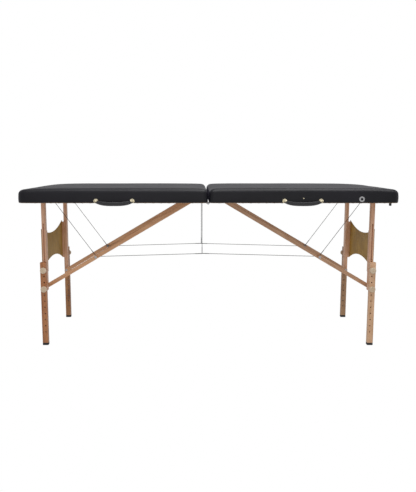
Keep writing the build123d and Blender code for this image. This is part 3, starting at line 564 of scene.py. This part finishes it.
def panel_screws(side):
    """Round-headed screws that hold the end panel to its posts."""
    low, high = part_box(side + "_end_panel")
    post_low, post_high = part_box(side + "_posts")
    out = -1 if side == "left" else 1
    face = low[0] if side == "left" else high[0]
    centre = (low[1] + high[1]) / 2
    reach = (high[1] - low[1]) / 2 - 15 * MM
    spots = []
    for across in (-reach, reach):
        for height in (low[2] + 30 * MM, (low[2] + high[2]) / 2, high[2] - 30 * MM):
            spots.append(((face, centre + across, height), (out, 0, 0)))
    body = side + "_leg_frame"
    repeated(side + "_panel_screws", DOMES, spots, 4 * MM, 1.8 * MM, body, "steel", STEEL)


def leaf_screws(side):
    """Countersunk-looking screws in the leaves of the middle hinges."""
    low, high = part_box(side + "_hinge_leaves")
    inner = 0.0065 if side == "right" else -0.0065
    out = 1 if side == "right" else -1
    centre = (low[1] + high[1]) / 2
    spots = []
    for across in (-1, 1):
        for step in (-26, 0, 26):
            for away in (11, 27):
                y = centre + across * 250 * MM + step * MM
                spots.append(((inner + out * away * MM, y, UNDERSIDE - 2 * MM), (0, 0, -1)))
    body = side + "_half"
    repeated(side + "_leaf_screws", DOMES, spots, 3.4 * MM, 0.8 * MM, body, "steel", STEEL)


def under_a_buffer(x, y):
    """Whether a buffer on the right half lands here once the table is shut."""
    low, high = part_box("bumpers")
    along = low[0] - BUFFER_ROOM < -x < high[0] + BUFFER_ROOM
    return along and min(abs(y - low[1]), abs(y - high[1])) < BUFFER_REACH


def flange_staples(side):
    """Staples along the cover's turned-under flange."""
    low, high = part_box(side + "_cover")
    spots = []
    inset, pitch = 8 * MM, 38 * MM
    height = low[2] - 0.3 * MM
    along = int((high[0] - low[0] - 2 * STAPLE_START) / pitch)
    across = int((high[1] - low[1] - 2 * STAPLE_START) / pitch)
    for k in range(along + 1):
        x = low[0] + STAPLE_START + k * pitch
        spots += [((x, y, height), (1, 0, 0)) for y in (low[1] + inset, high[1] - inset)]
    end_x = low[0] + inset if side == "left" else high[0] - inset
    for k in range(across + 1):
        spots.append(((end_x, low[1] + STAPLE_START + k * pitch, height), (0, 1, 0)))
    if side == "left":
        spots = [spot for spot in spots if not under_a_buffer(*spot[0][:2])]
    body = side + "_half"
    repeated(side + "_flange_staples", STITCHES, spots, 0.6 * MM, 5 * MM, body, "steel", STEEL)


# ---- handles -----------------------------------------------------------------------------------
STRAP_STATIONS = 48


def handle_strap(side):
    """A padded strap that hangs from two pins, with stitched edges and dome rivets."""
    low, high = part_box(side + "_handle")
    centre = (low[0] + high[0]) / 2
    reach = (high[0] - low[0]) / 2
    axis_z = high[2] - 4 * MM
    axis_y = (low[1] + high[1]) / 2
    work = bmesh.new()
    uv = work.loops.layers.uv.new("UVMap")
    section = 20
    rings, stitch_spots = [], []
    for i in range(STRAP_STATIONS + 1):
        t = 2 * i / STRAP_STATIONS - 1
        hang = 1 - abs(t) ** 3.2
        z = axis_z - 14 * MM * hang
        width = (6.2 + 3.4 * hang**0.5) * MM
        thick = (2.1 + 1.5 * math.exp(-((t / 0.45) ** 4))) * MM
        bow = 2.5 * MM * hang
        ring = []
        for k in range(section):
            a = 2 * math.pi * k / section
            flat = abs(math.cos(a)) ** 0.5 * math.copysign(1, math.cos(a))
            deep = abs(math.sin(a)) ** 0.8 * math.copysign(1, math.sin(a))
            place = (centre + t * reach, axis_y - bow + deep * thick, z + flat * width)
            ring.append(work.verts.new(place))
        rings.append(ring)
        if 2 <= i <= STRAP_STATIONS - 2:
            for edge in (-0.72, 0.72):
                place = (centre + t * reach, axis_y - bow - thick * 0.93, z + edge * width)
                stitch_spots.append((place, (1, 0, -0.12 * t)))
    for i in range(STRAP_STATIONS):
        for k in range(section):
            n = (k + 1) % section
            face = work.faces.new((rings[i][k], rings[i][n], rings[i + 1][n], rings[i + 1][k]))
            for corner, (du, dv) in zip(face.loops, ((0, 0), (0, 1), (1, 1), (1, 0))):
                corner[uv].uv = ((i + du) / STRAP_STATIONS, (k + dv) / section)
    work.faces.new(rings[0])
    work.faces.new(list(reversed(rings[-1])))
    bmesh.ops.recalc_face_normals(work, faces=work.faces)
    mesh = bpy.data.meshes.new(side + "_handle_strap")
    work.to_mesh(mesh)
    work.free()
    body = side + "_handle"
    strap = piece_from(side + "_handle_strap", mesh, body, STRAP)
    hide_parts(side + "_handle")
    stitch = (0.45 * MM, 1.7 * MM)
    repeated(side + "_handle_stitches", STITCHES, stitch_spots, *stitch, body, "strap", THREAD)
    rivets = [((centre + s * 87.5 * MM, axis_y - 3.4 * MM, axis_z), (0, -1, 0)) for s in (-1, 1)]
    repeated(side + "_handle_rivets", DOMES, rivets, 5.2 * MM, 2.6 * MM, body, "brass", BRASS)


# ---- making ------------------------------------------------------------------------------------
make_camera()
make_stage()
VINYL = vinyl()
STRAP = webbing()
STEEL = metal("zinc_steel", (0.55, 0.55, 0.56), 0.32)
BRASS = metal("pale_brass", (0.86, 0.77, 0.55), 0.22)
RUBBER = rubber()
BOARD = board()
THREAD = finish("grey_thread", (0.09, 0.09, 0.10), 0.7)
CABLE = {"left": wire_rope("left_wire", 0.5), "right": wire_rope("right_wire", -0.5)}
DOMES = repeat_tree("dome_heads", "dome")
STITCHES = repeat_tree("stitches", "stitch")
RAIL_WOOD = wood("rail_pine", (0.60, 0.40, 0.235), (0.42, 0.25, 0.13), "X")
PLY = wood("deck_ply", (0.55, 0.40, 0.25), (0.40, 0.27, 0.15), "X", gloss=0.6)
POST_WOOD = wood("post_beech", (0.84, 0.52, 0.34), (0.65, 0.37, 0.21), "Z")
LEG_WOODS = {
    ("left", "near"): wood("leg_chestnut", (0.54, 0.225, 0.085), (0.36, 0.13, 0.045), "Z"),
    ("right", "near"): wood(
        "leg_pale", (0.82, 0.53, 0.33), (0.63, 0.38, 0.20), "Z", centre=(0.3, 0, 0)
    ),
    ("left", "far"): wood(
        "leg_umber", (0.50, 0.235, 0.085), (0.32, 0.13, 0.042), "Z", centre=(0, 0.3, 0)
    ),
    ("right", "far"): wood(
        "leg_tan", (0.50, 0.29, 0.15), (0.34, 0.18, 0.085), "Z", centre=(0.3, 0.3, 0)
    ),
}
KNOB_WOOD = wood("knob_maple", (0.74, 0.60, 0.44), (0.62, 0.46, 0.30), "Y", gloss=0.35)
SLOPE = math.radians(30.5)
LINK_WOODS = {
    "left": wood("left_link_beech", (0.79, 0.45, 0.24), (0.58, 0.30, 0.14), "X", (0, -SLOPE, 0)),
    "right": wood("right_link_beech", (0.66, 0.40, 0.24), (0.47, 0.26, 0.14), "X", (0, SLOPE, 0)),
}


def paint(node, material):
    """Gives a CAD node that keeps its own shape a better finish."""
    target = frame["nodes"][node]
    target.data.materials.clear()
    target.data.materials.append(material)


for side in SIDES:
    pad(side)
    handle_strap(side)
    panel_screws(side)
    leaf_screws(side)
    flange_staples(side)
    eased(side + "_posts", side + "_eased_posts", POST_WOOD)
    eased(side + "_end_panel", side + "_eased_panel", BOARD, 0.0008)
    eased(side + "_upper_links", side + "_eased_upper_links", LINK_WOODS[side])
    eased(side + "_lower_links", side + "_eased_lower_links", LINK_WOODS[side])
    paint(side + "_rails", RAIL_WOOD)
    paint(side + "_blocks", RAIL_WOOD)
    paint(side + "_deck", PLY)
    paint(side + "_handle_mounts", BRASS)
    for hardware in ("pivot_bolts", "hinge_leaves", "brace_bolts", "knee_bolts"):
        paint(f"{side}_{hardware}", STEEL)
    for run in ("stay_cables", "tie_cables"):
        paint(f"{side}_{run}", CABLE[side])
    for depth in NEAR_FAR:
        corner = f"{side}_{depth}"
        eased(corner + "_lower_leg", corner + "_eased_leg", LEG_WOODS[side, depth])
        paint(corner + "_foot_cap", RUBBER)
        paint(corner + "_clamp_studs", STEEL)
        paint(corner + "_upper_knob", KNOB_WOOD)
        paint(corner + "_lower_knob", KNOB_WOOD)
paint("hinge_pins", STEEL)
paint("drop_cables", CABLE["left"])
paint("right_sockets", STEEL)
paint("snap_stud", BRASS)
paint("bumpers", RUBBER)
